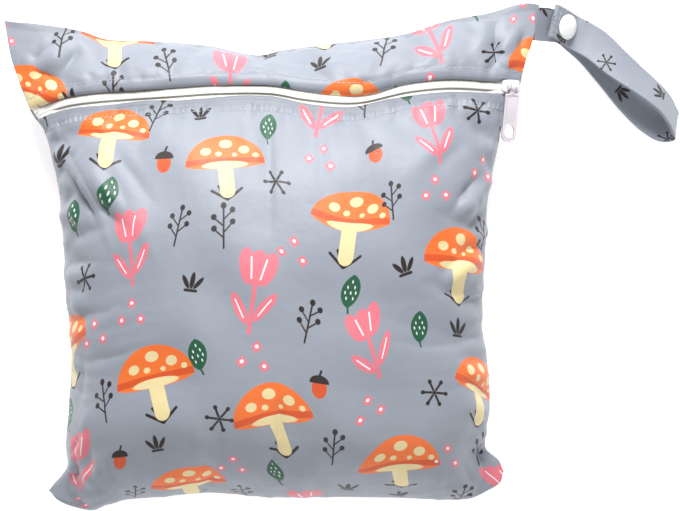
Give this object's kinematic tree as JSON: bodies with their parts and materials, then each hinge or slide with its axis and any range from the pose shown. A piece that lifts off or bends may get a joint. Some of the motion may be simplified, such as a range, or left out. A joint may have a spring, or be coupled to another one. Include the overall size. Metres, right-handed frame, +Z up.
{
  "type": "zipped cloth wet bag with a snap strap",
  "caption": "Filled cloth pouch lying on its back, zipped across the front, with a hinged zipper pull and a snapped hanging strap.",
  "frame": {"origin": "middle of the flat patch of the back that the bag rests on", "axes": "+X to the strap side, +Y to the zipped top edge, +Z up through the front"},
  "size_m": [0.384, 0.2847, 0.0984],
  "materials": {
    "printed_cloth": null,
    "strap_cloth": "the same printed cloth, folded and stitched",
    "zipper_tape": "woven creamy white tape",
    "zipper_coil": "wound nylon coil",
    "slider_plastic": "white moulded plastic",
    "snap_plastic": "white polished plastic snap"
  },
  "bodies": {
    "bag": {"front_panel": "printed_cloth", "top_panel": "printed_cloth", "back_panel": "printed_cloth", "zipper_tape_lower": "zipper_tape", "zipper_tape_upper": "zipper_tape", "zipper_coil": "zipper_coil", "zipper_slider": "slider_plastic", "strap": "strap_cloth", "snap_cap": "snap_plastic", "snap_socket": "snap_plastic", "snap_back_cap": "snap_plastic"},
    "pull_tab": {"pull_tab": "slider_plastic"}
  },
  "joints": [
    {"name": "pull_hinge", "type": "hinge", "parent": "bag", "child": "pull_tab", "pos_m": [0.1323, 0.0957, 0.04586], "axis": [-0.9506, 0.0314, 0.3087], "range_deg": [0, 180]}
  ]
}
